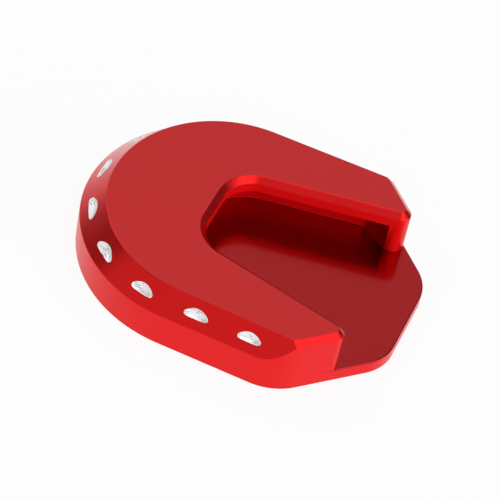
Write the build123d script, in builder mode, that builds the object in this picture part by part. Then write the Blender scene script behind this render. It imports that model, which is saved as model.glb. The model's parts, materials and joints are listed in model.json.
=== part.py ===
"""Side stand foot enlarger: a milled clamp plate over a flat base plate, held by four screws from below.

A side stand's foot sits in the undercut pocket of the clamp plate.
Its leg comes out through the flared slot.
Millimetres, +X from the round rear to the open front, +Z up, origin under the middle of the outline.
"""

import os
from math import cos, radians, sin, tan

from build123d import *

# Overall sizes
length = 99.8
width = 80.0
base_thickness = 4.3
clamp_thickness = 14.7

# Outline: half-round rear, straight sides, angled faces and a short front edge
front_edge_width = 32.1
front_face_angle = 44.2
shoulder_radius = 17.1
front_corner_radius = 13.8
edge_break = 0.12

# Large bevel round the rear and along the sides, steeper on the sides, where its upper edge spreads a little
bevel_height = 7.75
bevel_run_side = 4.95
bevel_run_rear = 7.05
bevel_spread_angle = 1.1
bevel_overshoot = 1.0

# Slot, open at the front, with a small chamfer that runs on over the arm tips and angled faces
rear_land = 38.2
slot_rear_width = 27.3
slot_flare = 11.1
slot_corner_radius = 10.0
tip_radius = 3.1
edge_chamfer = 1.75
slot_overshoot = 5.0

# Pocket under the lip, closed by a leg at the end of each arm
pocket_height = 9.8
pocket_undercut = 6.6
pocket_end_angle = 30.0
pocket_corner_radius = 3.0
leg_length = 8.0

# Bright scallops plunged into the bevel with a flat-ended cutter that has a rounded corner
scallop_radius = 7.3
scallop_corner_radius = 1.4
scallop_floor_rise = 2.65
scallop_mouth_rise = 2.6
scallop_pitch_angle = 25.9
scallops_each_way = 3
scallop_side_start = 9.0
scallop_side_pitch = 16.1
scallops_per_side = 2

# Countersunk hexagon socket screws
screw_diameter = 4.0
screw_length = 12.0
screw_head_diameter = 8.0
screw_head_angle = 90.0
screw_tip_chamfer = 0.5
hex_across_flats = 2.5
hex_depth = 1.5
head_recess = 0.2
seat_clearance = 0.05
shank_clearance = 0.25
thread_clearance = 0.05
hole_spare_depth = 1.5
drill_point_angle = 118.0
front_screw_inset = 7.0
front_screw_setback = 0.5
rear_screw_circle = 28.0
rear_screw_angle = 40.0

# Places worked out from the sizes
half_width = width / 2
front_x = length / 2
rear_x = -length / 2
rear_centre_x = rear_x + half_width
shoulder_x = front_x - (half_width - front_edge_width / 2) / tan(radians(front_face_angle))
total_height = base_thickness + clamp_thickness
bevel_foot = total_height - bevel_height
bevel_lean = bevel_run_rear - bevel_run_side

flare_slope = tan(radians(slot_flare))
face_slope = tan(radians(front_face_angle))
end_slope = tan(radians(pocket_end_angle))
slot_rear_x = rear_x + rear_land
slot_front_x = front_x + slot_overshoot


def slot_half_width(x):
    """Half width of the slot at a place along the part."""
    return slot_rear_width / 2 + (x - slot_rear_x) * flare_slope


# Sharp tip of each arm, where the slot wall would meet the angled face
tip_x = (half_width + shoulder_x * face_slope - slot_half_width(0)) / (face_slope + flare_slope)
tip_y = slot_half_width(tip_x)

# Pocket corner, where its side wall meets the slanted wall behind the leg
leg_x = tip_x - leg_length
pocket_rear_x = slot_rear_x - pocket_undercut
pocket_side_shift = pocket_undercut / cos(radians(slot_flare))
pocket_rear_y = slot_half_width(pocket_rear_x) + pocket_side_shift
pocket_corner_x = (
    slot_half_width(leg_x) + leg_x * end_slope - slot_half_width(0) - pocket_side_shift
) / (flare_slope + end_slope)
pocket_corner_y = slot_half_width(pocket_corner_x) + pocket_side_shift
pocket_mouth_x = tip_x
pocket_mouth_y = slot_half_width(leg_x) - (pocket_mouth_x - leg_x) * end_slope

rear_screw_x = rear_centre_x - rear_screw_circle * cos(radians(rear_screw_angle))
rear_screw_y = rear_screw_circle * sin(radians(rear_screw_angle))
front_screw_x = shoulder_x - front_screw_setback
front_screw_y = half_width - front_screw_inset
screw_places = [
    (front_screw_x, front_screw_y),
    (front_screw_x, -front_screw_y),
    (rear_screw_x, rear_screw_y),
    (rear_screw_x, -rear_screw_y),
]
screw_radius = screw_diameter / 2
screw_head_radius = screw_head_diameter / 2
screw_head_height = (screw_head_radius - screw_radius) / tan(radians(screw_head_angle / 2))
countersink_radius = screw_head_radius + seat_clearance + head_recess * tan(radians(screw_head_angle / 2))
screw_tip_z = head_recess + screw_length
tapped_radius = screw_radius + thread_clearance
tapped_depth = screw_tip_z + hole_spare_depth - base_thickness
drill_point_height = tapped_radius / tan(radians(drill_point_angle / 2))


def side_bevel_run(x):
    """Run of the bevel at a place along a straight side, where it shrinks towards the front."""
    return bevel_run_side - (x - rear_centre_x - bevel_lean) * tan(radians(bevel_spread_angle))


def scallop_places():
    """Cutter axes for the scallops: round the rear at even angles, then along both sides."""
    reach = (scallop_floor_rise + scallop_mouth_rise) / bevel_height
    places = []
    for step in range(-scallops_each_way, scallops_each_way + 1):
        turn = radians(step * scallop_pitch_angle)
        run = bevel_run_side + bevel_lean * cos(turn)
        distance = half_width - reach * run + scallop_radius
        places.append((rear_centre_x - distance * cos(turn), distance * sin(turn)))
    for step in range(scallops_per_side):
        x = rear_centre_x + scallop_side_start + step * scallop_side_pitch
        y = half_width - reach * side_bevel_run(x) + scallop_radius
        places.append((x, y))
        places.append((x, -y))
    return places


os.makedirs("parts", exist_ok=True)

# Outline shared by both plates
with BuildSketch() as outline:
    with BuildLine():
        CenterArc((rear_centre_x, 0), half_width, 90, 180)
        Polyline(
            (rear_centre_x, -half_width),
            (shoulder_x, -half_width),
            (front_x, -front_edge_width / 2),
            (front_x, front_edge_width / 2),
            (shoulder_x, half_width),
            (rear_centre_x, half_width),
        )
    make_face()
    fillet(outline.vertices().group_by(Axis.X)[-1], front_corner_radius)
    shoulders = [
        outline.vertices().sort_by_distance((shoulder_x, side))[0]
        for side in (half_width, -half_width)
    ]
    fillet(shoulders, shoulder_radius)

# Slot in plan
with BuildSketch() as slot:
    with BuildLine():
        Polyline(
            (slot_rear_x, slot_half_width(slot_rear_x)),
            (slot_front_x, slot_half_width(slot_front_x)),
            (slot_front_x, -slot_half_width(slot_front_x)),
            (slot_rear_x, -slot_half_width(slot_rear_x)),
            close=True,
        )
    make_face()
    fillet(slot.vertices().group_by(Axis.X)[0], slot_corner_radius)

# Envelope of the large bevel: a leaning cone round the rear that runs out into the side faces
with BuildPart() as bevel_envelope:
    for level in (base_thickness - bevel_overshoot, total_height + bevel_overshoot):
        climb = (level - bevel_foot) / bevel_height
        bevel_radius = half_width - bevel_run_side * climb
        bevel_centre_x = rear_centre_x + bevel_lean * climb
        spread = radians(bevel_spread_angle * climb)
        arc_end_x = bevel_centre_x - bevel_radius * sin(spread)
        arc_end_y = bevel_radius * cos(spread)
        front_y = arc_end_y + (slot_front_x - arc_end_x) * tan(spread)
        with BuildSketch(Plane.XY.offset(level)):
            with BuildLine():
                ThreePointArc(
                    (arc_end_x, arc_end_y),
                    (bevel_centre_x - bevel_radius, 0),
                    (arc_end_x, -arc_end_y),
                )
                Polyline(
                    (arc_end_x, -arc_end_y),
                    (slot_front_x, -front_y),
                    (slot_front_x, front_y),
                    (arc_end_x, arc_end_y),
                )
            make_face()
    loft(ruled=True)

# Cutter that leaves one scallop
with BuildPart() as scallop_cutter:
    Cylinder(scallop_radius, bevel_height, align=(Align.CENTER, Align.CENTER, Align.MIN))
    fillet(scallop_cutter.faces().sort_by(Axis.Z)[0].edges(), scallop_corner_radius)

# Clamp plate: a horseshoe with a lip all round its slot
with BuildPart() as clamp_plate:
    with BuildSketch(Plane.XY.offset(base_thickness)) as horseshoe:
        add(outline.sketch)
        add(slot.sketch, mode=Mode.SUBTRACT)
        tips = [horseshoe.vertices().sort_by_distance((tip_x, side, 0))[0] for side in (tip_y, -tip_y)]
        fillet(tips, tip_radius)
    extrude(amount=clamp_thickness)
    chamfer(clamp_plate.faces().sort_by(Axis.Z)[-1].edges(), edge_chamfer)
    add(bevel_envelope.part, mode=Mode.INTERSECT)

    with BuildSketch(Plane.XY.offset(base_thickness)) as pocket:
        with BuildLine():
            Polyline(
                (pocket_rear_x, pocket_rear_y),
                (pocket_corner_x, pocket_corner_y),
                (pocket_mouth_x, pocket_mouth_y),
                (pocket_mouth_x, -pocket_mouth_y),
                (pocket_corner_x, -pocket_corner_y),
                (pocket_rear_x, -pocket_rear_y),
                close=True,
            )
        make_face()
        fillet(pocket.vertices().group_by(Axis.X)[0], slot_corner_radius + pocket_undercut)
        corners = [
            pocket.vertices().sort_by_distance((pocket_corner_x, side, 0))[0]
            for side in (pocket_corner_y, -pocket_corner_y)
        ]
        fillet(corners, pocket_corner_radius)
    extrude(amount=pocket_height, mode=Mode.SUBTRACT)

    with Locations((0, 0, bevel_foot + scallop_floor_rise)):
        with Locations(*scallop_places()):
            add(scallop_cutter.part, mode=Mode.SUBTRACT)

    with Locations((0, 0, base_thickness)):
        with Locations(*screw_places):
            Cylinder(
                tapped_radius,
                tapped_depth,
                align=(Align.CENTER, Align.CENTER, Align.MIN),
                mode=Mode.SUBTRACT,
            )
    with Locations((0, 0, base_thickness + tapped_depth)):
        with Locations(*screw_places):
            Cone(
                tapped_radius,
                0,
                drill_point_height,
                align=(Align.CENTER, Align.CENTER, Align.MIN),
                mode=Mode.SUBTRACT,
            )

# Base plate: the full outline, countersunk from below
with BuildPart() as base_plate:
    with BuildSketch():
        add(outline.sketch)
    extrude(amount=base_thickness)
    chamfer(base_plate.faces().sort_by(Axis.Z)[0].edges(), edge_break)
    underside = Plane((0, 0, 0), x_dir=(1, 0, 0), z_dir=(0, 0, -1))
    with Locations(underside):
        with Locations(*screw_places):
            CounterSinkHole(
                screw_radius + shank_clearance,
                countersink_radius,
                counter_sink_angle=screw_head_angle,
            )

# Screws, head down, the same size at all four places
with BuildPart() as base_screws:
    with BuildSketch(Plane.XZ):
        with BuildLine():
            Polyline(
                (0, head_recess),
                (screw_head_radius, head_recess),
                (screw_radius, head_recess + screw_head_height),
                (screw_radius, screw_tip_z - screw_tip_chamfer),
                (screw_radius - screw_tip_chamfer, screw_tip_z),
                (0, screw_tip_z),
                close=True,
            )
        make_face()
    revolve(axis=Axis.Z)
    with BuildSketch(Plane.XY.offset(head_recess)):
        RegularPolygon(hex_across_flats / 2, 6, major_radius=False)
    extrude(amount=hex_depth, mode=Mode.SUBTRACT)
    one_screw = base_screws.part
    with Locations(*screw_places):
        add(one_screw)
    add(one_screw, mode=Mode.SUBTRACT)

for name, piece in (
    ("clamp_plate", clamp_plate.part),
    ("base_plate", base_plate.part),
    ("base_screws", base_screws.part),
):
    piece.label = name
    export_step(piece, f"parts/{name}.step")
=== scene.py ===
"""Looks of a side stand foot enlarger.

A red anodised clamp plate with bare milled scallops stands on its base plate.
"""

import json
import logging
import math
from dataclasses import dataclass, field, replace
from enum import Enum, IntEnum
from itertools import combinations

import bmesh
import bpy
from mathutils import Matrix, Vector

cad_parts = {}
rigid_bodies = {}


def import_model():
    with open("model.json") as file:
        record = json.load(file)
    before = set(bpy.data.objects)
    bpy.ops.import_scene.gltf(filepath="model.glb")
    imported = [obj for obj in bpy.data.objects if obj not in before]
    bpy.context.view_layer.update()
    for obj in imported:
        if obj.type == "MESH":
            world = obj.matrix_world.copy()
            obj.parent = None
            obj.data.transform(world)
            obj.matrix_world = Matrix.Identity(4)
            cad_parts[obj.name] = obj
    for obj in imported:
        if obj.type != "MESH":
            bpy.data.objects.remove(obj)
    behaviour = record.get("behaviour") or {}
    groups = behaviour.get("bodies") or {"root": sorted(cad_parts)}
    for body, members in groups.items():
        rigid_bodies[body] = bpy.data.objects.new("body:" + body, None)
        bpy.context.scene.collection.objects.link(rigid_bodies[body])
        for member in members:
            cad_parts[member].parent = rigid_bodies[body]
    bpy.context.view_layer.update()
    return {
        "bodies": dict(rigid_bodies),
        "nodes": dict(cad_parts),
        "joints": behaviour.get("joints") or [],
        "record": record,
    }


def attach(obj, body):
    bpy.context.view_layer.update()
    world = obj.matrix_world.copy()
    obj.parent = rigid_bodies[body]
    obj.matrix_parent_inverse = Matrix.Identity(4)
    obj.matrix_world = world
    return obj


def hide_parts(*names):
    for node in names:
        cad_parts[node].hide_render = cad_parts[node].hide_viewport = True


LOG = logging.getLogger("foot_enlarger")
MM = 0.001
BODY = "root"

Colour = tuple[float, float, float]

# Sockets of a Mix node in colour mode, where several share one name
MIX_SHARE, MIX_FIRST, MIX_SECOND, MIX_RESULT = 0, 6, 7, 2


class Slot(Enum):
    """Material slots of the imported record."""

    RED = "red_anodised"
    STEEL = "screw_steel"


class Face(IntEnum):
    """Kinds of face on the clamp plate, numbered as its materials are."""

    TOP = 0
    BEVEL = 1
    WALL = 2
    SLOT = 3
    POCKET = 4
    # the pocket's end walls and the foot of its wall, painted a darker red as shade
    POCKET_END = 5
    BARE = 6


class BaseFace(IntEnum):
    """Kinds of face on the base plate, numbered as its materials are."""

    EDGE = 0
    FLOOR = 1


class Layer(Enum):
    """Mesh attributes: which faces break an edge, and where a corner lies from its cutter's axis."""

    EDGE = "edge_break"
    CUTTER = "cutter_place"


def shader_node(tree: bpy.types.NodeTree, kind: str, **inputs: object) -> bpy.types.Node:
    """Adds a node and sets its inputs.

    Args:
        tree: Tree that gets the node.
        kind: Blender's name for the node's class.
        inputs: Socket names, with underscores for spaces, and a value or an output socket for each.

    Returns:
        The new node.
    """
    node = tree.nodes.new(kind)
    for name, value in inputs.items():
        socket = node.inputs[name.replace("_", " ")]
        if isinstance(value, bpy.types.NodeSocket):
            tree.links.new(value, socket)
        else:
            socket.default_value = value
    return node


def maths(tree: bpy.types.NodeTree, operation: str, *values: object) -> bpy.types.NodeSocket:
    """Adds a Math node.

    Args:
        tree: Tree that gets the node.
        operation: Blender's name for the operation.
        values: Numbers or output sockets, in the node's order.

    Returns:
        The node's output.
    """
    node = tree.nodes.new("ShaderNodeMath")
    node.operation = operation
    for socket, value in zip(node.inputs, values):
        if isinstance(value, bpy.types.NodeSocket):
            tree.links.new(value, socket)
        else:
            socket.default_value = value
    return node.outputs[0]


def mixed_colour(
    tree: bpy.types.NodeTree, share: object, first: object, second: object
) -> bpy.types.NodeSocket:
    """Adds a colour Mix node.

    Args:
        tree: Tree that gets the node.
        share: Share of the second colour, a number or an output socket.
        first: Colour at a share of 0.
        second: Colour at a share of 1.

    Returns:
        The mixed colour.
    """
    node = tree.nodes.new("ShaderNodeMix")
    node.data_type = "RGBA"
    for number, value in ((MIX_SHARE, share), (MIX_FIRST, first), (MIX_SECOND, second)):
        socket = node.inputs[number]
        if isinstance(value, bpy.types.NodeSocket):
            tree.links.new(value, socket)
        elif isinstance(value, tuple):
            socket.default_value = (*value, 1.0)
        else:
            socket.default_value = value
    return node.outputs[MIX_RESULT]


def smooth_step(tree: bpy.types.NodeTree, value: object, start: float, end: float) -> bpy.types.NodeSocket:
    """Adds a soft ramp.

    Args:
        tree: Tree that gets the node.
        value: Output socket that the ramp follows.
        start: Value at which the ramp is 0.
        end: Value at which the ramp is 1.

    Returns:
        The ramp's output.
    """
    node = tree.nodes.new("ShaderNodeMapRange")
    node.interpolation_type = "SMOOTHSTEP"
    tree.links.new(value, node.inputs["Value"])
    node.inputs["From Min"].default_value = start
    node.inputs["From Max"].default_value = end
    return node.outputs["Result"]


@dataclass(frozen=True)
class Grain:
    """Fine blasted grain and slow cloudiness, a shader group that the metal finishes share."""

    name: str = "fine_grain"

    def group(self) -> bpy.types.NodeTree:
        """Builds the group on first use.

        Returns:
            A group with the inputs Grain Size and Cloud Size, in metres, and the outputs Height and Cloud.
        """
        known = bpy.data.node_groups.get(self.name)
        if known:
            return known
        tree = bpy.data.node_groups.new(self.name, "ShaderNodeTree")
        for label in ("Grain Size", "Cloud Size"):
            tree.interface.new_socket(label, in_out="INPUT", socket_type="NodeSocketFloat")
        for label in ("Height", "Cloud"):
            tree.interface.new_socket(label, in_out="OUTPUT", socket_type="NodeSocketFloat")
        given = tree.nodes.new("NodeGroupInput")
        place = tree.nodes.new("ShaderNodeTexCoord").outputs["Object"]
        fine = shader_node(
            tree, "ShaderNodeTexNoise", Vector=place, Detail=3.0, Roughness=0.6,
            Scale=maths(tree, "DIVIDE", 1.0, given.outputs["Grain Size"]),
        )
        slow = shader_node(
            tree, "ShaderNodeTexNoise", Vector=place, Detail=2.0, Roughness=0.5,
            Scale=maths(tree, "DIVIDE", 1.0, given.outputs["Cloud Size"]),
        )
        put_out = tree.nodes.new("NodeGroupOutput")
        tree.links.new(fine.outputs[0], put_out.inputs["Height"])
        tree.links.new(slow.outputs[0], put_out.inputs["Cloud"])
        return tree

    def place(self, tree: bpy.types.NodeTree, grain_size: float, cloud_size: float) -> bpy.types.Node:
        """Adds the group to a material.

        Args:
            tree: The material's tree.
            grain_size: Size of one grain, in metres.
            cloud_size: Size of one slow patch, in metres.

        Returns:
            The group's node.
        """
        node = tree.nodes.new("ShaderNodeGroup")
        node.node_tree = self.group()
        node.inputs["Grain Size"].default_value = grain_size
        node.inputs["Cloud Size"].default_value = cloud_size
        return node


@dataclass(frozen=True)
class ToolMarks:
    """Rings left by a turning cutter, a shader group for the bare faces and the screws."""

    name: str = "tool_marks"

    def group(self) -> bpy.types.NodeTree:
        """Builds the group on first use.

        Returns:
            A group with the input Pitch, in metres, and the output Height.
        """
        known = bpy.data.node_groups.get(self.name)
        if known:
            return known
        tree = bpy.data.node_groups.new(self.name, "ShaderNodeTree")
        tree.interface.new_socket("Pitch", in_out="INPUT", socket_type="NodeSocketFloat")
        tree.interface.new_socket("Height", in_out="OUTPUT", socket_type="NodeSocketFloat")
        given = tree.nodes.new("NodeGroupInput")
        place = tree.nodes.new("ShaderNodeAttribute")
        place.attribute_name = Layer.CUTTER.value
        axis = shader_node(tree, "ShaderNodeSeparateXYZ", Vector=place.outputs["Vector"])
        across = maths(tree, "POWER", axis.outputs["X"], 2.0)
        along = maths(tree, "POWER", axis.outputs["Y"], 2.0)
        radius = maths(tree, "SQRT", maths(tree, "ADD", across, along))
        feed = maths(tree, "ADD", radius, axis.outputs["Z"])
        turns = maths(tree, "MULTIPLY", maths(tree, "DIVIDE", feed, given.outputs["Pitch"]), math.tau)
        put_out = tree.nodes.new("NodeGroupOutput")
        tree.links.new(maths(tree, "SINE", turns), put_out.inputs["Height"])
        return tree

    def place(self, tree: bpy.types.NodeTree, pitch: float) -> bpy.types.Node:
        """Adds the group to a material.

        Args:
            tree: The material's tree.
            pitch: Distance between two rings, in metres.

        Returns:
            The group's node.
        """
        node = tree.nodes.new("ShaderNodeGroup")
        node.node_tree = self.group()
        node.inputs["Pitch"].default_value = pitch
        return node


@dataclass(frozen=True)
class RedAnodise:
    """Dyed anodising on blasted or milled aluminium: tinted metal under a thin clear layer."""

    name: str
    colour: Colour
    cloud_colour: Colour
    roughness: float
    roughness_swing: float
    clear_weight: float
    clear_roughness: float
    clear_ior: float
    metal_share: float
    grain_size: float = 0.12 * MM
    grain_depth: float = 0.004 * MM
    cloud_size: float = 14.0 * MM

    def material(self) -> bpy.types.Material:
        """Builds the material.

        Returns:
            The material, with its own node tree.
        """
        made = bpy.data.materials.new(self.name)
        made.use_nodes = True
        tree = made.node_tree
        metal = tree.nodes["Principled BSDF"]
        metal.inputs["Metallic"].default_value = self.metal_share
        metal.inputs["Specular IOR Level"].default_value = 0.0
        metal.inputs["Coat Weight"].default_value = self.clear_weight
        metal.inputs["Coat Roughness"].default_value = self.clear_roughness
        metal.inputs["Coat IOR"].default_value = self.clear_ior
        grain = Grain().place(tree, self.grain_size, self.cloud_size)
        dye = mixed_colour(tree, grain.outputs["Cloud"], self.colour, self.cloud_colour)
        tree.links.new(dye, metal.inputs["Base Color"])
        swing = maths(tree, "MULTIPLY_ADD", grain.outputs["Cloud"], self.roughness_swing, self.roughness)
        tree.links.new(swing, metal.inputs["Roughness"])
        bump = shader_node(tree, "ShaderNodeBump", Strength=1.0, Distance=self.grain_depth)
        tree.links.new(grain.outputs["Height"], bump.inputs["Height"])
        tree.links.new(bump.outputs["Normal"], metal.inputs["Normal"])
        return made


@dataclass(frozen=True)
class MilledMetal:
    """Bare metal with the rings of the cutter that made it, grey in streaks along the rings within slow
    patches; on the bare scallops these grey streaks are painted reflections of dark surroundings.
    """

    name: str
    colour: Colour
    streak_colour: Colour
    roughness: float
    roughness_swing: float
    ring_pitch: float
    ring_depth: float
    metal_share: float = 1.0
    grain_size: float = 0.2 * MM
    patch_size: float = 2.2 * MM
    patch: tuple[float, float] = (0.53, 0.62)
    ring_band: tuple[float, float] = (-0.2, 0.9)

    def material(self) -> bpy.types.Material:
        """Builds the material.

        Returns:
            The material, with its own node tree.
        """
        made = bpy.data.materials.new(self.name)
        made.use_nodes = True
        tree = made.node_tree
        metal = tree.nodes["Principled BSDF"]
        metal.inputs["Metallic"].default_value = self.metal_share
        grain = Grain().place(tree, self.grain_size, self.patch_size)
        rings = ToolMarks().place(tree, self.ring_pitch)
        # grey streaks in the colour: painted reflections on the bare scallops
        streak = maths(
            tree, "MULTIPLY",
            smooth_step(tree, grain.outputs["Cloud"], *self.patch),
            smooth_step(tree, rings.outputs["Height"], *self.ring_band),
        )
        tone = mixed_colour(tree, streak, self.colour, self.streak_colour)
        tree.links.new(tone, metal.inputs["Base Color"])
        swing = maths(tree, "MULTIPLY_ADD", grain.outputs["Height"], self.roughness_swing, self.roughness)
        tree.links.new(swing, metal.inputs["Roughness"])
        bump = shader_node(tree, "ShaderNodeBump", Strength=1.0, Distance=self.ring_depth)
        tree.links.new(rings.outputs["Height"], bump.inputs["Height"])
        tree.links.new(bump.outputs["Normal"], metal.inputs["Normal"])
        return made


# One red dye, given a separate colour for each kind of face: darker on the top and bevel, lighter on the
# outer walls, lightest on the slot walls. These differences are painted light and shade in place of how the
# lamps fall.
TOP_RED = RedAnodise(
    name="blasted_top_red",
    colour=(0.64, 0.0055, 0.007),
    cloud_colour=(0.68, 0.0065, 0.008),
    roughness=0.28,
    roughness_swing=0.06,
    clear_weight=0.8,
    clear_roughness=0.4,
    clear_ior=1.5,
    metal_share=0.95,
)
BEVEL_RED = replace(
    TOP_RED,
    name="milled_bevel_red",
    colour=(0.68, 0.0055, 0.0065),
    cloud_colour=(0.72, 0.0065, 0.0075),
    roughness=0.27,
    roughness_swing=0.05,
    clear_weight=1.0,
    clear_roughness=0.25,
    clear_ior=1.2,
    grain_depth=0.0015 * MM,
)
WALL_RED = replace(
    BEVEL_RED,
    name="milled_wall_red",
    colour=(0.86, 0.007, 0.0085),
    cloud_colour=(0.89, 0.008, 0.0095),
    roughness=0.36,
    clear_weight=0.62,
    clear_ior=1.27,
    metal_share=0.45,
)
# Slot walls: the lightest red, painted light on walls that face into the slot.
SLOT_RED = replace(
    WALL_RED,
    name="slot_wall_red",
    colour=(0.94, 0.007, 0.0085),
    cloud_colour=(0.97, 0.008, 0.0095),
    roughness=0.40,
    clear_weight=0.4,
    metal_share=0.15,
)
POCKET_RED = replace(
    WALL_RED,
    name="pocket_red",
    colour=(0.86, 0.004, 0.008),
    cloud_colour=(0.90, 0.0045, 0.009),
    roughness=0.50,
    clear_weight=0.1,
    metal_share=0.15,
)
# Darker red of the pocket's end walls and of its foot: painted shade of the recess.
POCKET_SHADE_RED = replace(
    POCKET_RED,
    name="pocket_end_painted_shade_red",
    colour=(0.52, 0.003, 0.005),
    cloud_colour=(0.56, 0.003, 0.005),
    metal_share=0.6,
)
# The base plate's upper faces get a much darker red than its edge: painted shade.
FLOOR_RED = replace(
    TOP_RED,
    name="base_floor_red",
    colour=(0.38, 0.004, 0.005),
    cloud_colour=(0.41, 0.005, 0.006),
    roughness=0.19,
    roughness_swing=0.05,
    clear_weight=0.37,
    clear_roughness=0.12,
    metal_share=1.0,
)
BARE_ALUMINIUM = MilledMetal(
    name="bare_aluminium",
    colour=(0.98, 0.98, 0.985),
    # dark grey streaks: painted reflections in the polished scallops
    streak_colour=(0.30, 0.31, 0.32),
    roughness=0.12,
    roughness_swing=0.12,
    ring_pitch=0.75 * MM,
    ring_depth=0.010 * MM,
    metal_share=0.2,
)
SCREW_STEEL = MilledMetal(
    name="screw_steel",
    colour=(0.62, 0.62, 0.63),
    streak_colour=(0.52, 0.52, 0.53),
    roughness=0.24,
    roughness_swing=0.12,
    ring_pitch=0.22 * MM,
    ring_depth=0.004 * MM,
)


@dataclass
class MachinedPiece:
    """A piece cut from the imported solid's own faces, with its sharp corners lightly broken."""

    node: str
    name: str
    slot: Slot
    edge_width: float
    edge_segments: int = 3
    least_edge_angle: float = math.radians(20.0)
    weld: float = 0.001 * MM
    flatness: float = math.radians(0.6)
    level: float = 0.999
    sloping: float = 0.1
    solid: bmesh.types.BMesh = field(init=False, repr=False)

    def start(self, frame: dict) -> None:
        """Copies the node's triangles, merges their corners and joins those that lie in one plane.
        """
        self.solid = bmesh.new()
        self.solid.from_mesh(frame["nodes"][self.node].data)
        bmesh.ops.remove_doubles(self.solid, verts=self.solid.verts, dist=self.weld)
        bmesh.ops.dissolve_limit(
            self.solid,
            angle_limit=self.flatness,
            use_dissolve_boundaries=False,
            verts=self.solid.verts,
            edges=self.solid.edges,
            delimit={"NORMAL"},
        )
        self.solid.faces.layers.float.new(Layer.EDGE.value)
        for edge in self.solid.edges:
            edge.smooth = edge.calc_face_angle(0.0) < self.least_edge_angle

    def sharp_edges(self) -> list[bmesh.types.BMEdge]:
        """Lists the sharp outer edges that aren't broken yet.

        Returns:
            The edges, in the mesh's order.
        """
        mark = self.solid.faces.layers.float[Layer.EDGE.value]
        return [
            edge for edge in self.solid.edges
            if edge.is_manifold and edge.is_convex and edge.calc_face_angle() > self.least_edge_angle
            and not any(face[mark] for face in edge.link_faces)
        ]

    def break_edges(self, edges: list[bmesh.types.BMEdge], width: float) -> None:
        """Rounds edges and marks the new faces.

        Args:
            edges: Sharp outer edges, clear of each other by more than twice the width.
            width: How far the rounding reaches into each face, in metres.
        """
        mark = self.solid.faces.layers.float[Layer.EDGE.value]
        made = bmesh.ops.bevel(
            self.solid,
            geom=edges,
            offset=width,
            offset_type="OFFSET",
            segments=self.edge_segments,
            profile=0.5,
            affect="EDGES",
            material=-1,
            clamp_overlap=False,
        )
        for face in made["faces"]:
            face[mark] = 1.0
            for edge in face.edges:
                edge.smooth = True

    def finish(self, finishes: list[bpy.types.Material]) -> bpy.types.Object:
        """Makes the object, which stands for its node and rides on the part's body.

        Args:
            finishes: Materials in the order of the faces' material numbers.

        Returns:
            The finished piece.
        """
        mesh = bpy.data.meshes.new(self.name)
        for face in self.solid.faces:
            face.smooth = True
        self.solid.to_mesh(mesh)
        self.solid.free()
        for finish in finishes:
            mesh.materials.append(finish)
        piece = bpy.data.objects.new(self.name, mesh)
        bpy.context.scene.collection.objects.link(piece)
        normals = piece.modifiers.new("face_normals", "WEIGHTED_NORMAL")
        normals.mode = "FACE_AREA"
        normals.weight = 50
        normals.keep_sharp = True
        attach(piece, BODY)
        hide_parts(self.node)
        return piece


def circle_centre(a: Vector, b: Vector, c: Vector) -> Vector:
    """Finds the middle of the level circle through three points.

    Args:
        a: First point.
        b: Second point.
        c: Third point.

    Returns:
        The middle, at the first point's height.
    """
    p, q = b - a, c - a
    double_area = 2.0 * (p.x * q.y - p.y * q.x)
    p_square, q_square = p.x**2 + p.y**2, q.x**2 + q.y**2
    x = (q.y * p_square - p.y * q_square) / double_area
    y = (p.x * q_square - q.x * p_square) / double_area
    return a + Vector((x, y, 0.0))


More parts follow.
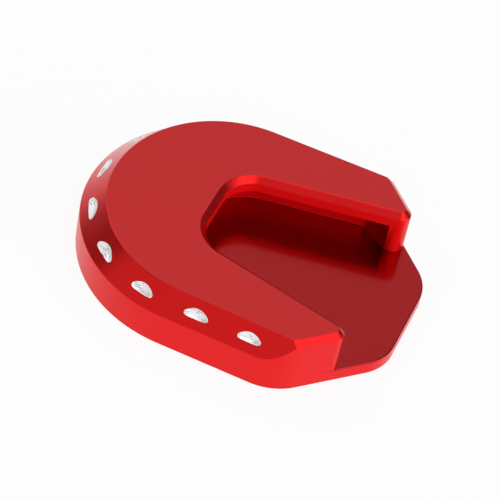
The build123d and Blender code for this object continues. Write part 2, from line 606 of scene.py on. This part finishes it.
@dataclass
class ClampPlate(MachinedPiece):
    """Upper horseshoe plate: satin red, with bare scallops cut through the colour."""

    node: str = "clamp_plate"
    name: str = "clamp_plate_body"
    slot: Slot = Slot.RED
    edge_width: float = 0.14 * MM
    joint_width: float = 0.26 * MM
    least_depth: float = 1.0 * MM
    rim_angle: float = math.radians(14.0)
    foot: float = 4.3 * MM
    pocket_top: float = 14.1 * MM
    slot_middle: float = 12.0 * MM
    pocket_rear: float = -20.5 * MM
    pocket_half_width: float = 28.0 * MM
    end_facing: float = -0.35
    axes: list[Vector] = field(default_factory=list)

    def sort_faces(self) -> None:
        """Gives the top, the slopes, the walls and the pocket their own finishes, whose reds are painted
        lighter and darker as light and shade.
        """
        for face in self.solid.faces:
            middle = face.calc_center_median()
            inward = face.normal.x * (self.slot_middle - middle.x) - face.normal.y * middle.y > 0.0
            below_lip = max(vertex.co.z for vertex in face.verts) < self.pocket_top + self.weld
            in_slot = middle.x > self.pocket_rear and abs(middle.y) < self.pocket_half_width
            if face.normal.z > self.level:
                face.material_index = Face.TOP
            elif face.normal.z > self.sloping:
                face.material_index = Face.BEVEL
            elif below_lip and in_slot and (inward or middle.z > self.foot + self.weld):
                # faces at the pocket's end take a darker red, painted shade
                face.material_index = Face.POCKET_END if face.normal.x < self.end_facing else Face.POCKET
            elif inward and in_slot:
                face.material_index = Face.SLOT
            else:
                face.material_index = Face.WALL

    def scallop_faces(self) -> None:
        """Gives the scallops' floors and walls the bare finish and notes each cutter's axis."""
        top = max(vertex.co.z for vertex in self.solid.verts)
        floors = [
            face for face in self.solid.faces
            if face.normal.z > self.level and face.calc_center_median().z < top - self.least_depth
        ]
        for floor in floors:
            if floor.material_index == Face.BARE:
                continue
            hollow, waiting = {floor}, [floor]
            while waiting:
                for edge in waiting.pop().edges:
                    if edge.calc_face_angle_signed(0.0) > self.rim_angle:
                        continue
                    near = set(edge.link_faces) - hollow
                    hollow |= near
                    waiting += near
            for face in hollow:
                face.material_index = Face.BARE
            level = floor.calc_center_median().z
            wall = {vertex for face in hollow if abs(face.normal.z) < self.sloping for vertex in face.verts}
            rim = [Vector((vertex.co.x, vertex.co.y, level)) for vertex in wall]
            first, last = max(combinations(rim, 2), key=lambda ends: (ends[0] - ends[1]).length)
            middle = min(rim, key=lambda point: abs((point - first).length - (point - last).length))
            self.axes.append(circle_centre(first, middle, last))
            LOG.info("scallop of %d faces at %s", len(hollow), tuple(round(c, 4) for c in self.axes[-1]))

    @staticmethod
    def kinds(edge: bmesh.types.BMEdge) -> set[int]:
        """Gives the kinds of face on both sides of an edge."""
        return {face.material_index for face in edge.link_faces}

    def on_base(self, edge: bmesh.types.BMEdge) -> bool:
        """Says whether an edge stands on the base plate."""
        return all(vertex.co.z < self.foot + self.weld for vertex in edge.verts)

    def open_joint(self) -> None:
        """Breaks the foot of the pocket's wall and gives its broken faces the pocket end's darker red,
        painted shade that makes the dark line along the base plate.
        """
        feet = [
            edge for edge in self.sharp_edges()
            if self.on_base(edge) and Face.POCKET in self.kinds(edge)
        ]
        self.break_edges(feet, self.joint_width)
        top = self.foot + self.joint_width
        # the faces at the foot take the pocket end's darker red, painted shade
        for face in self.solid.faces:
            if face.material_index == Face.POCKET and face.calc_center_median().z < top:
                face.material_index = Face.POCKET_END

    def break_outside(self) -> None:
        """Breaks the other edges, but for the scallops' crisp rims and those on the base plate."""
        outside = [
            edge for edge in self.sharp_edges()
            if not self.on_base(edge) and Face.BARE not in self.kinds(edge)
        ]
        self.break_edges(outside, self.edge_width)

    def mark_cutter(self) -> None:
        """Stores each bare corner's place from its cutter's axis."""
        place = self.solid.verts.layers.float_vector.new(Layer.CUTTER.value)
        for face in self.solid.faces:
            if face.material_index != Face.BARE:
                continue
            middle = face.calc_center_median()
            axis = min(self.axes, key=lambda point: (point - middle).length)
            for vertex in face.verts:
                vertex[place] = vertex.co - axis

    def build(self, frame: dict) -> bpy.types.Object:
        """Builds and dresses the plate.


        Returns:
            The finished piece.
        """
        self.start(frame)
        self.sort_faces()
        self.scallop_faces()
        self.open_joint()
        self.break_outside()
        self.mark_cutter()
        finishes = {
            Face.TOP: TOP_RED,
            Face.BEVEL: BEVEL_RED,
            Face.WALL: WALL_RED,
            Face.SLOT: SLOT_RED,
            Face.POCKET: POCKET_RED,
            Face.POCKET_END: POCKET_SHADE_RED,
            Face.BARE: BARE_ALUMINIUM,
        }
        return self.finish([finishes[face].material() for face in Face])


@dataclass
class BasePlate(MachinedPiece):
    """Lower plate: satin red edge, with a smoother floor painted a darker red as shade."""

    node: str = "base_plate"
    name: str = "base_plate_body"
    slot: Slot = Slot.RED
    edge_width: float = 0.45 * MM
    thickness: float = 4.3 * MM
    tongue_start: float = 37.5 * MM

    def tongue_edges(self) -> list[bmesh.types.BMEdge]:
        """Lists the upper edges that the clamp plate leaves free.

        Returns:
            The edges of the tongue's upper outline.
        """
        corners = {edge: (edge.verts[0].co + edge.verts[1].co) / 2 for edge in self.sharp_edges()}
        return [
            edge for edge, middle in corners.items()
            if middle.z > self.thickness - self.weld and middle.x > self.tongue_start
        ]

    def split_at_tongue(self) -> None:
        """Gives the upper edge a corner on each side where the tongue starts."""
        for edge in list(self.solid.edges):
            low, high = sorted((vertex.co for vertex in edge.verts), key=lambda place: place.x)
            on_top = min(low.z, high.z) > self.thickness - self.weld
            if on_top and low.x < self.tongue_start < high.x:
                start = edge.verts[0]
                share = (self.tongue_start - start.co.x) / (edge.other_vert(start).co.x - start.co.x)
                bmesh.utils.edge_split(edge, start, share)

    def build(self, frame: dict) -> bpy.types.Object:
        """Builds and dresses the plate.


        Returns:
            The finished piece.
        """
        self.start(frame)
        self.split_at_tongue()
        self.break_edges(self.tongue_edges(), self.edge_width)
        for face in self.solid.faces:
            # upper faces take the darker floor red, painted shade
            face.material_index = BaseFace.FLOOR if face.normal.z > self.sloping else BaseFace.EDGE
        finishes = {
            BaseFace.EDGE: bpy.data.materials[WALL_RED.name],
            BaseFace.FLOOR: FLOOR_RED.material(),
        }
        return self.finish([finishes[face] for face in BaseFace])


@dataclass
class BaseScrews(MachinedPiece):
    """Countersunk screws in the underside."""

    node: str = "base_screws"
    name: str = "base_screw_set"
    slot: Slot = Slot.STEEL
    edge_width: float = 0.08 * MM
    edge_segments: int = 2

    def mark_turning(self) -> None:
        """Stores each corner's place from its own screw's axis."""
        place = self.solid.verts.layers.float_vector.new(Layer.CUTTER.value)
        waiting = set(self.solid.verts)
        while waiting:
            island, open_ends = set(), [waiting.pop()]
            while open_ends:
                vertex = open_ends.pop()
                island.add(vertex)
                near = [edge.other_vert(vertex) for edge in vertex.link_edges]
                open_ends += [other for other in near if other in waiting]
                waiting.difference_update(near)
            xs = [vertex.co.x for vertex in island]
            ys = [vertex.co.y for vertex in island]
            axis = Vector(((min(xs) + max(xs)) / 2, (min(ys) + max(ys)) / 2, 0.0))
            for vertex in island:
                vertex[place] = vertex.co - axis

    def build(self, frame: dict) -> bpy.types.Object:
        """Builds and dresses the screws.


        Returns:
            The finished piece.
        """
        self.start(frame)
        self.break_edges(self.sharp_edges(), self.edge_width)
        self.mark_turning()
        return self.finish([SCREW_STEEL.material()])


def direction(azimuth: float, elevation: float) -> Vector:
    """Gives the unit vector from the part towards a place round it.

    Args:
        azimuth: Degrees round the part, 0 at -Y and 90 at +X.
        elevation: Degrees above the floor.

    Returns:
        The unit vector.
    """
    a, e = math.radians(azimuth), math.radians(elevation)
    return Vector((math.sin(a) * math.cos(e), -math.cos(a) * math.cos(e), math.sin(e)))


@dataclass(frozen=True)
class PhotoCamera:
    """Camera at the photograph's viewpoint."""

    azimuth: float = 14.21
    elevation: float = 46.83
    roll: float = 12.35
    distance: float = 776.39 * MM
    aim: Vector = Vector((-0.98 * MM, 5.88 * MM, 0.0))
    focal_pixels: float = 2687.42
    image_pixels: float = 500.0
    sensor: float = 36.0
    nearest: float = 0.05
    farthest: float = 20.0

    def build(self) -> bpy.types.Object:
        """Makes the camera and gives it to the scene.

        Returns:
            The camera.
        """
        data = bpy.data.cameras.new("photo_camera")
        data.sensor_width = self.sensor
        data.lens = self.focal_pixels / self.image_pixels * self.sensor
        data.clip_start, data.clip_end = self.nearest, self.farthest
        camera = bpy.data.objects.new("photo_camera", data)
        bpy.context.scene.collection.objects.link(camera)
        back = direction(self.azimuth, self.elevation)
        right = direction(self.azimuth + 90.0, 0.0)
        up = back.cross(right)
        turn = math.radians(self.roll)
        rolled_right = right * math.cos(turn) + up * math.sin(turn)
        rolled_up = up * math.cos(turn) - right * math.sin(turn)
        turned = Matrix((rolled_right, rolled_up, back)).transposed().to_4x4()
        camera.matrix_world = Matrix.Translation(self.aim + back * self.distance) @ turned
        bpy.context.scene.camera = camera
        return camera


@dataclass(frozen=True)
class Softbox:
    """Rectangular white area lamp that faces the part."""

    name: str
    azimuth: float
    elevation: float
    distance: float
    width: float
    height: float
    brightness: float

    def build(self) -> bpy.types.Object:
        """Makes the lamp, at a power that gives its face the stated brightness.

        Returns:
            The lamp.
        """
        data = bpy.data.lights.new(self.name, "AREA")
        data.shape = "RECTANGLE"
        data.size, data.size_y = self.width, self.height
        data.energy = self.brightness * math.pi * self.width * self.height
        lamp = bpy.data.objects.new(self.name, data)
        bpy.context.scene.collection.objects.link(lamp)
        towards = direction(self.azimuth, self.elevation)
        lamp.location = towards * self.distance
        lamp.visible_camera = False
        lamp.rotation_mode = "QUATERNION"
        lamp.rotation_quaternion = towards.to_track_quat("Z", "Y")
        return lamp


@dataclass(frozen=True)
class Studio:
    """White floor, even grey surroundings and soft lamps, each named for where it stands."""

    floor_size: float = 6.0
    floor_drop: float = 0.02 * MM
    floor_colour: Colour = (0.96, 0.96, 0.96)
    white_share: float = 0.9
    world_level: float = 0.18
    boxes: tuple[Softbox, ...] = (
        Softbox("key_box", 55.0, 41.0, 1.3, 0.75, 0.5, 2.0),
        Softbox("right_box", 82.0, 34.0, 1.3, 0.42, 0.5, 1.2),
        Softbox("right_strip", 102.0, 27.0, 1.3, 0.5, 0.4, 0.35),
        Softbox("right_low_strip", 75.0, 13.0, 1.3, 1.3, 0.45, 2.5),
        Softbox("top_box", 90.0, 82.0, 1.3, 1.0, 1.0, 1.4),
        Softbox("front_top_box", 15.0, 66.0, 1.3, 1.0, 0.5, 1.0),
        Softbox("front_box", 3.0, 42.0, 1.3, 1.0, 0.45, 0.62),
        Softbox("front_low_box", -25.0, 14.0, 1.3, 2.1, 0.55, 0.69),
        Softbox("left_box", 258.0, 40.0, 1.3, 0.9, 0.5, 2.2),
        Softbox("left_low_box", 268.0, 8.0, 1.3, 1.1, 0.5, 0.06),
        Softbox("back_box", 194.0, 48.0, 1.3, 1.2, 0.6, 0.66),
        Softbox("back_low_box", 194.0, 16.0, 1.3, 1.2, 0.6, 0.15),
    )

    def floor_material(self) -> bpy.types.Material:
        """Builds the floor's finish: as white in reflections as to the eye, with a trace of shadow left.

        Returns:
            The material, clear from below.
        """
        made = bpy.data.materials.new("white_floor")
        made.use_nodes = True
        tree = made.node_tree
        tree.nodes.remove(tree.nodes["Principled BSDF"])
        path = tree.nodes.new("ShaderNodeLightPath")
        paper = shader_node(tree, "ShaderNodeBsdfDiffuse", Color=(*self.floor_colour, 1.0))
        glow = shader_node(tree, "ShaderNodeEmission", Color=(1.0, 1.0, 1.0, 1.0), Strength=1.0)
        mirrored = maths(tree, "MAXIMUM", path.outputs["Is Glossy Ray"], path.outputs["Is Transmission Ray"])
        looked_at = maths(tree, "MAXIMUM", path.outputs["Is Camera Ray"], mirrored)
        seen = maths(tree, "MULTIPLY", looked_at, self.white_share)
        mix = shader_node(tree, "ShaderNodeMixShader", Fac=seen)
        tree.links.new(paper.outputs[0], mix.inputs[1])
        tree.links.new(glow.outputs[0], mix.inputs[2])
        clear = tree.nodes.new("ShaderNodeBsdfTransparent")
        facing = tree.nodes.new("ShaderNodeNewGeometry")
        under = shader_node(tree, "ShaderNodeMixShader", Fac=facing.outputs["Backfacing"])
        tree.links.new(mix.outputs[0], under.inputs[1])
        tree.links.new(clear.outputs[0], under.inputs[2])
        tree.links.new(under.outputs[0], tree.nodes["Material Output"].inputs["Surface"])
        return made

    def build_floor(self) -> bpy.types.Object:
        """Makes the floor.

        Returns:
            The floor.
        """
        shape = bmesh.new()
        bmesh.ops.create_grid(shape, x_segments=1, y_segments=1, size=self.floor_size / 2)
        bmesh.ops.translate(shape, verts=shape.verts, vec=(0.0, 0.0, -self.floor_drop))
        mesh = bpy.data.meshes.new("floor")
        shape.to_mesh(mesh)
        shape.free()
        mesh.materials.append(self.floor_material())
        floor = bpy.data.objects.new("floor", mesh)
        bpy.context.scene.collection.objects.link(floor)
        return floor

    def build_world(self) -> None:
        """Makes the surroundings, an even grey."""
        world = bpy.data.worlds.new("studio")
        world.use_nodes = True
        tree = world.node_tree
        ground = tree.nodes["Background"]
        ground.inputs["Color"].default_value = (1.0, 1.0, 1.0, 1.0)
        ground.inputs["Strength"].default_value = self.world_level
        bpy.context.scene.world = world

    def build(self) -> None:
        """Makes floor, surroundings and lamps."""
        self.build_floor()
        self.build_world()
        for box in self.boxes:
            box.build()


def main() -> None:
    """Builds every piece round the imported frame, then the studio and the camera."""
    logging.basicConfig(level=logging.INFO, format="%(name)s: %(message)s")
    bpy.context.scene.view_settings.view_transform = "Standard"
    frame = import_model()
    for sub_assembly in (ClampPlate(), BasePlate(), BaseScrews()):
        piece = sub_assembly.build(frame)
        LOG.info("%s: %d faces", piece.name, len(piece.data.polygons))
    Studio().build()
    PhotoCamera().build()


if __name__ == "__main__":
    main()
